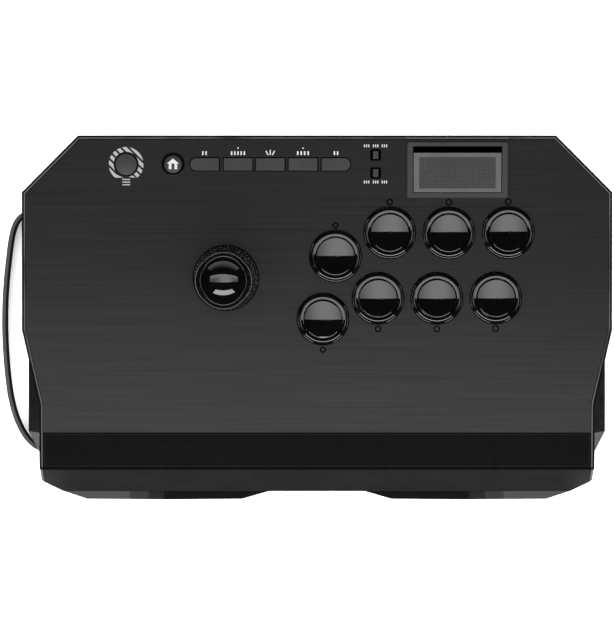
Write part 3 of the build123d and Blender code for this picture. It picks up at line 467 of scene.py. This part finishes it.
def touchpad_face():
    """The pad's raised frame, and the field of small dots inside it."""
    pad_low, pad_high = panel_box("touchpad")
    bezel_low, bezel_high = panel_box("touchpad_bezel")
    x = (bezel_low.x + bezel_high.x) / 2
    front = pad_low.y + PAD_MARGIN
    back = pad_low.y + PAD_DEPTH - PAD_MARGIN
    y = (front + back) / 2
    outer = rectangle(x, y, FRAME_WIDTH, back - front)
    inner = rectangle(x, y, *FIELD_SIZE)
    root = pad_high.z - FRAME_ROOT
    rise = pad_high.z + FRAME_RISE
    corners, faces = [], []
    rings = [
        (outer, 0.0, root),
        (outer, 0.0, rise - FRAME_SLOPE / 2),
        (outer, -FRAME_SLOPE, rise),
        (inner, FRAME_SLOPE, rise),
        (inner, 0.0, root),
    ]
    for outline, grow, height in rings:
        for cx, cy in outline:
            corners.append((cx + math.copysign(grow, cx - x), cy + math.copysign(grow, cy - y), height))
    for ring in range(len(rings)):
        below, above = 4 * ring, 4 * ((ring + 1) % len(rings))
        faces += [[below + i, below + (i + 1) % 4, above + (i + 1) % 4, above + i] for i in range(4)]
    new_piece("touchpad_frame", corners, faces, frame_grey, "touchpad")
    columns, rows = int(FIELD_SIZE[0] / DOT_PITCH), int(FIELD_SIZE[1] / DOT_PITCH)
    spots = grid(x, y, columns, rows, DOT_PITCH)
    base, tip = pad_high.z - DOT_ROOT, pad_high.z + DOT_TIP
    studs("touchpad_dots", spots, DOT_HALF, base, tip, DOT_FLAT, frame_grey, "touchpad")


strip_knurl()
washer_knurl()
touchpad_face()

# ---------------------------------------------------------------- printed marks

PRINT_LOW, PRINT_HIGH = -0.05 * MM, 0.03 * MM  # from the panel's surface
LABEL_OFFSET = 6.8 * MM  # from the middle of a function button up to its label
LABEL_HEIGHT = 2.3 * MM
LABELS = ((4.0, 2), (9.8, 5), None, (8.6, 4), (3.9, 2))  # width in mm and ticks. The third is a fan of rays
RAY_FOOT, RAY_END = 1.3 * MM, 2.7 * MM  # from the fan's middle out to the foot and the end of an outer ray
RAY_LENGTHS = {-1: 2.6 * MM, 0: 3.2 * MM, 1: 2.6 * MM}
RAY_LINE = 0.7 * MM
SLIDE_OFFSET = 5.6 * MM  # from the middle of a slide switch up or down to its labels
SLIDE_COLUMNS = (-5.6 * MM, 0, 5.4 * MM)
SLIDE_WIDTH, SLIDE_TICKS, SLIDE_HEIGHT = 4.0 * MM, 3, 1.7 * MM
TICK_SHARE = 0.45  # a tick's share of its pitch


def tally(x, y, width, count, height):
    """A row of upright ticks."""
    pitch = width / count
    middles = [x + (i - (count - 1) / 2) * pitch for i in range(count)]
    return [rectangle(middle, y, TICK_SHARE * pitch, height) for middle in middles]


def function_labels():
    """Rows of ticks, and one fan of rays, where the function buttons and slide switches have words."""
    marks = []
    for number, label in enumerate(LABELS, start=1):
        place = spot(f"function_button_{number}")
        if label:
            width, count = label
            marks += tally(place.x, place.y + LABEL_OFFSET, width * MM, count, LABEL_HEIGHT)
            continue
        foot = place.y + LABEL_OFFSET - LABEL_HEIGHT / 2
        for side, length in RAY_LENGTHS.items():
            start = (place.x + side * RAY_FOOT, foot)
            end = (place.x + side * RAY_END, foot + length)
            marks.append(stroke(start, end, RAY_LINE))
    for node, side in (("slide_knob_1", 1), ("slide_knob_2", -1)):
        place = spot(node)
        for offset in SLIDE_COLUMNS:
            y = place.y + side * SLIDE_OFFSET
            marks += tally(place.x + offset, y, SLIDE_WIDTH, SLIDE_TICKS, SLIDE_HEIGHT)
    prisms("control_labels", marks, PRINT_LOW, PRINT_HIGH, white_ink)


RING_INNER, RING_OUTER = 7.8 * MM, 10.7 * MM
RING_CUT = -8.2 * MM  # the ring stops here, over the three bars
BAND_PITCH, BAND_WIDTH = 3.3 * MM, 2.05 * MM
BAND_SHIFT = 0.1 * MM  # the middle band's distance from the ring's middle
BAND_STEPS = 8
EMPTY_BAND = (-2, 1)  # its place is over the three bars
BAR_DROPS = (9.3 * MM, 10.95 * MM, 12.6 * MM)  # from the middle of the ring down to each bar
BAR_SIZE = (4.8 * MM, 0.7 * MM)


def ring_band(centre, middle, side):
    """One end of a slanting band, where it crosses the ring round the options button."""
    outer_edge, inner_edge = [], []
    for i in range(BAND_STEPS + 1):
        across = middle + BAND_WIDTH * (i / BAND_STEPS - 0.5)
        across = max(-RING_OUTER, min(RING_OUTER, across))
        far = math.sqrt(RING_OUTER**2 - across**2)
        near = math.sqrt(max(0.0, RING_INNER**2 - across**2))
        outer_edge.append((across, side * far))
        inner_edge.append((across, side * near))
    outline = []
    for across, along in inner_edge + outer_edge[::-1]:
        x = (across + along) / math.sqrt(2)
        y = (across - along) / math.sqrt(2)
        outline.append((centre.x + x, centre.y + max(RING_CUT, y)))
    return outline if side < 0 else outline[::-1]


def options_marks():
    """The ring of slanting bands round the options button, and the three bars under it."""
    centre = spot("options_button")
    marks = []
    for number in range(-3, 4):
        middle = number * BAND_PITCH + BAND_SHIFT
        for side in (-1, 1):
            if (number, side) != EMPTY_BAND:
                marks.append(ring_band(centre, middle, side))
    for drop in BAR_DROPS:
        marks.append(rectangle(centre.x, centre.y - drop, *BAR_SIZE))
    prisms("options_marks", marks, PRINT_LOW, PRINT_HIGH, light_ink)


HOUSE_HALF = 3.7 * MM
WALL_OUTER, DOORWAY = 0.7 * HOUSE_HALF, 0.25 * HOUSE_HALF  # from the middle to each side of a wall
ROOF, EAVES, FOOT = 3.5 * MM, 0.4 * MM, -3.1 * MM  # heights from the button's middle
DOME_DROP = 0.5 * MM  # how far the home button's dome falls away under the house


def home_symbol():
    """A plain house, printed on the home button's dome."""
    place = spot("home_button")
    top = panel_box("home_button")[1].z
    house = [(-HOUSE_HALF, EAVES), (HOUSE_HALF, EAVES), (0, ROOF)]
    walls = [(-WALL_OUTER, FOOT), (-DOORWAY, FOOT), (-DOORWAY, EAVES), (-WALL_OUTER, EAVES)]
    mirrored = [(-x, y) for x, y in reversed(walls)]
    marks = [[(place.x + x, place.y + y) for x, y in outline] for outline in (house, walls, mirrored)]
    prisms("home_symbol", marks, top - DOME_DROP, top + 0.02 * MM, white_ink, "home")


LEGEND_R = 1.9 * MM
LEGEND_LINE = 0.8 * MM
LEGEND_OFFSET = 19 * MM  # from the middle of a main button


def outline_mark(x, y, sides, turn):
    """A regular polygon drawn as a line, one bar for each side."""
    ring = [turn + 2 * math.pi * i / sides for i in range(sides)]
    points = [(x + LEGEND_R * math.cos(a), y + LEGEND_R * math.sin(a)) for a in ring]
    return [stroke(points[i - 1], points[i], LEGEND_LINE) for i in range(sides)]


def button_legends():
    """Plain outlined marks beside the main buttons: above the back row, below the front row."""
    marks = []
    for number in range(1, 9):
        place = spot(f"button_plunger_{number}")
        side = 1 if number <= 4 else -1
        sides = 4 + (number - 1) % 4
        marks += outline_mark(place.x, place.y + side * LEGEND_OFFSET, sides, math.pi / 2)
    prisms("button_legends", marks, PRINT_LOW, PRINT_HIGH, dark_ink)


function_labels()
options_marks()
home_symbol()
button_legends()

# ---------------------------------------------------------------- camera

camera_data = bpy.data.cameras.new("camera")
camera_data.lens = 140.2
camera = bpy.data.objects.new("camera", camera_data)
camera.location = (-6.2 * MM, 5.8 * MM, 1546 * MM)
scene.collection.objects.link(camera)
scene.camera = camera

# ---------------------------------------------------------------- floor and light

scene.view_settings.view_transform = "Standard"

FLOOR_HALF = 6.0


def floor():
    """A pale floor at z = 0, under the pads."""
    mesh = bpy.data.meshes.new("floor")
    corners = [(*corner, 0) for corner in rectangle(0, 0, 2 * FLOOR_HALF, 2 * FLOOR_HALF)]
    mesh.from_pydata(corners, [], [(0, 1, 2, 3)])
    material, tree, shader = new_material("floor")
    cloud = spread(tree, noise(tree, 300 * MM), 0, 1)
    tree.links.new(mixed(tree, cloud, (0.86, 0.86, 0.86), (0.9, 0.9, 0.9)), shader.inputs["Base Color"])
    shader.inputs["Roughness"].default_value = 0.8
    shader.inputs["Specular IOR Level"].default_value = 0.1
    mesh.materials.append(material)
    plane = bpy.data.objects.new("floor", mesh)
    scene.collection.objects.link(plane)
    return plane


CEILING = 3.0  # height of the wide lights
FLOOR_LEVEL = 0.5 * MM  # height of the lights that lie on the floor


def panel_light(name, place, target, width, height, radiance, receivers, roll=0.0):
    """A soft rectangular light that the camera doesn't see, and that lights only its receivers."""
    data = bpy.data.lights.new(name, "AREA")
    data.shape = "RECTANGLE"
    data.size, data.size_y = width, height
    data.energy = math.pi * width * height * radiance
    lamp = bpy.data.objects.new(name, data)
    scene.collection.objects.link(lamp)
    lamp.location = place
    lamp.rotation_mode = "QUATERNION"
    aim = (Vector(target) - Vector(place)).to_track_quat("-Z", "Y")
    lamp.rotation_quaternion = Quaternion((0, 0, 1), math.radians(roll)) @ aim
    lamp.visible_camera = False
    group = bpy.data.collections.new(name + "_receivers")
    for thing in receivers:
        group.objects.link(thing)
    lamp.light_linking.receiver_collection = group
    return lamp


def light_down(name, x, y, width, depth, radiance, receivers, level=CEILING):
    """A light that faces straight down."""
    return panel_light(name, (x, y, level), (x, y, 0), width, depth, radiance, receivers)


def light_up(name, x, y, width, depth, radiance, receivers, level=FLOOR_LEVEL):
    """A light that faces straight up."""
    return panel_light(name, (x, y, level), (x, y, 1), width, depth, radiance, receivers)


def across_face(lamp):
    """A light's node tree, and the two outputs that run from 0 to 1 along and across its face."""
    lamp.data.use_nodes = True
    tree = lamp.data.node_tree
    place = tree.nodes.new("ShaderNodeNewGeometry")
    split = tree.nodes.new("ShaderNodeSeparateXYZ")
    tree.links.new(place.outputs["Parametric"], split.inputs[0])
    return tree, split.outputs["X"], split.outputs["Y"]


FADE_ALONG = (0.02, 0.3)  # where the fade starts and ends, from the middle of the front edge to its ends
FADE_ACROSS = (0.2, 1.0)  # where the light's ends begin to brighten, and are fully bright, front to back


def fade_ends(lamp, ends):
    """Dim the two ends of a light's front edge, fully bright along its back edge."""
    tree, x, y = across_face(lamp)
    distance = worked_out(tree, "ABSOLUTE", worked_out(tree, "SUBTRACT", x, 0.5))
    along = ranged(tree, distance, *FADE_ALONG, 1, ends, "SMOOTHSTEP")
    across = ranged(tree, y, *FADE_ACROSS, ends, 1, "SMOOTHSTEP")
    tree.links.new(worked_out(tree, "MAXIMUM", along, across), tree.nodes["Emission"].inputs["Strength"])


def fade_up(lamp):
    """Dim a light towards its top edge."""
    tree, _, y = across_face(lamp)
    tree.links.new(ranged(tree, y, 0, 1, 1, 0), tree.nodes["Emission"].inputs["Strength"])


def pieces(*starts):
    """Every piece whose name starts with one of these."""
    return [thing for thing in scene.objects if thing.type == "MESH" and thing.name.startswith(starts)]


floor_plane = floor()
floor_plane.visible_glossy = False
floor_plane.visible_diffuse = False

# ---------------------------------------------------------------- the lights over the panel

OVERHEAD = (9.0, 1.72, 4.2)  # width, depth and radiance of the light that the glossy pieces mirror
# one overhead light for each set of main buttons: its name, their numbers, and its distance back
BUTTON_SETS = (
    ("back_row", "234", 0.8),
    ("first", "1", 0.7),
    ("front_row", "678", 0.58),
    ("fifth", "5", 0.53),
)


def button_lights():
    """The lights that the main buttons mirror, one for each set, and two dimmer ones at the sides."""
    for name, numbers, back in BUTTON_SETS:
        names = [f"button_{part}_{number}" for part in ("housing", "plunger") for number in numbers]
        fade_ends(light_down(f"overhead_{name}", 0.3, back, *OVERHEAD, pieces(*names)), 0.3)
    for side in (-1, 1):
        light_down(f"flanks_{side}", side * 3.6, -0.7, 2.8, 2.0, 3.0, pieces("button_housing"))


def panel_lights():
    """The light that edges and slopes catch from the front, and the washes over each kind of surface."""
    mirrors = pieces("ball_top", "shaft_sleeve", "carry_strap")
    fade_ends(light_down("overhead", 0.5, 0.54, *OVERHEAD, mirrors), 0.35)
    unlit = ("floor", "top_plate", "button_legends", "lower_case")
    front_lit = [thing for thing in pieces("") if thing.name not in unlit]
    panel_light("front", (0, -0.6, 0.665), (0, 0, 0.665), 1.18, 0.41, 9.0, front_lit)
    light_down("floor_wash", 0, 0, 4, 4, 9.0, [floor_plane])
    light_down("plate_wash", 0, 0, 3, 3, 0.4, pieces("top_plate"))
    glow = (0, -0.165)
    panel_light("plate_glow", (*glow, 0.245), (*glow, 0), 0.7, 0.26, 0.82, pieces("top_plate"), roll=-3)
    controls = ("function_button", "options_button", "slide_knob", "touchpad", "home_button", "washer_gr")
    light_down("control_wash", 0, 0, 6, 6, 0.55, pieces(*controls))
    light_down("print_wash", 0, 0, 3, 3, 1.6, pieces("control_labels", "options_marks", "home_symbol"))


def rim_lights():
    """Low lights on all four sides, for the fine bright line along the upper case's rim."""
    for name, x, y in (("front", 0, -2), ("back", 0, 2), ("left", -2, 0), ("right", 2, 0)):
        panel_light("rim_" + name, (x, y, 0.4), (0, 0, 0.4), 4, 0.8, 4.0, pieces("upper_case"))
    # the touchpad's bezel hides the front light from the rim behind it, so that stretch gets its own
    low, high = panel_box("touchpad_bezel")
    gap, level = 0.3 * MM, 0.8 * MM
    behind = Vector(((low.x + high.x) / 2, high.y + gap, level))
    further = behind + Vector((0, 1, 0))
    width = high.x - low.x
    panel_light("rim_touchpad", panel @ behind, panel @ further, width, 4 * MM, 3.0, pieces("upper_case"))


# ---------------------------------------------------------------- the lights round the case


def room_lights():
    """The pale floor and room as the walls and the plate reflect them, seen from the sides."""
    case_walls, flat_tops = pieces("upper_case", "lower_case"), pieces("top_plate")
    for name, x, y in (("front", 0, -1), ("back", 0, 1), ("left", -1, 0), ("right", 1, 0)):
        width, depth = (0.5, 0.6) if x else (0.7, 0.6)
        light_up(f"below_{name}", 0.5 * x, 0.6 * y, width, depth, 0.8, case_walls)
        panel_light(f"beyond_{name}", (3 * x, 3 * y, 1.6), (0, 0, 0.04), 4, 1.6, 0.45, flat_tops)


# the floor as each front foot reflects it, in three steps: distance from the middle, width, radiance
FOOT_STEPS = ((0.152, 0.065, 0.32), (0.1135, 0.012, 0.16), (0.1025, 0.01, 0.06))


def front_corner_lights():
    """The floor and room as the feet, the front lip and the case's front corners reflect them."""
    feet = pieces("lower_case")
    for side in (-1, 1):
        for number, (reach, width, radiance) in enumerate(FOOT_STEPS):
            light_up(f"foot_{number}_{side}", side * reach, -0.125, width, 0.03, radiance, feet)
        light_up(f"facets_{side}", side * 0.2, -0.105, 0.06, 0.1, 2.0, pieces("front_lip"))
        corner = (side * 0.178, -0.077, 0.02)
        panel_light(f"wing_{side}", (side * 0.7, -0.33, 0.1), corner, 0.35, 0.3, 5.5, feet)


# what the ball top mirrors of the panel round it, as two square rings of lights: name, level,
# half their distance apart along X and Y, thickness, radiance
BALL_RINGS = (("ring", 0.05, 0.2, 0.13, 0.02, 2.5), ("edge", 0.049, 0.042, 0.042, 0.004, 1.3))


def lever_and_strap_lights():
    """The strap's wash, the ball top's back light, and the rings of light under the ball."""
    light_down("strap_wash", -0.2, 0, 1.5, 1.5, 5.5, pieces("carry_strap"), level=2)
    ball = pieces("ball_top")
    fade_up(panel_light("ball_back", (-0.05, 2, 0.95), (-0.05, 0, 0.95), 5.0, 1.3, 1.6, ball))
    low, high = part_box("ball_top")
    middle = (Vector(low) + Vector(high)) / 2
    for name, level, reach_x, reach_y, thick, radiance in BALL_RINGS:
        for side in (-1, 1):
            for end, x, y, width, depth in (
                ("x", side * reach_x, 0, thick, 2 * reach_y + thick),
                ("y", 0, side * reach_y, 2 * reach_x + thick, thick),
            ):
                place = (middle.x + x, middle.y + y)
                light_up(f"ball_{name}_{end}{side}", *place, width, depth, radiance, ball, level)


# the order in which the lights are made is part of the look, since it sets the render's grain
button_lights()
panel_lights()
rim_lights()
room_lights()
front_corner_lights()
lever_and_strap_lights()

# ---------------------------------------------------------------- world: dim light, pale backdrop

world = bpy.data.worlds.new("world")
scene.world = world
world.use_nodes = True
tree = world.node_tree
background = tree.nodes["Background"]
background.inputs["Color"].default_value = (0.9, 0.9, 0.92, 1)
background.inputs["Strength"].default_value = 0.04
backdrop = tree.nodes.new("ShaderNodeBackground")
backdrop.inputs["Color"].default_value = (0.93, 0.93, 0.94, 1)
path = tree.nodes.new("ShaderNodeLightPath")
choice = tree.nodes.new("ShaderNodeMixShader")
tree.links.new(path.outputs["Is Camera Ray"], choice.inputs[0])
tree.links.new(background.outputs[0], choice.inputs[1])
tree.links.new(backdrop.outputs[0], choice.inputs[2])
tree.links.new(choice.outputs[0], tree.nodes["World Output"].inputs["Surface"])
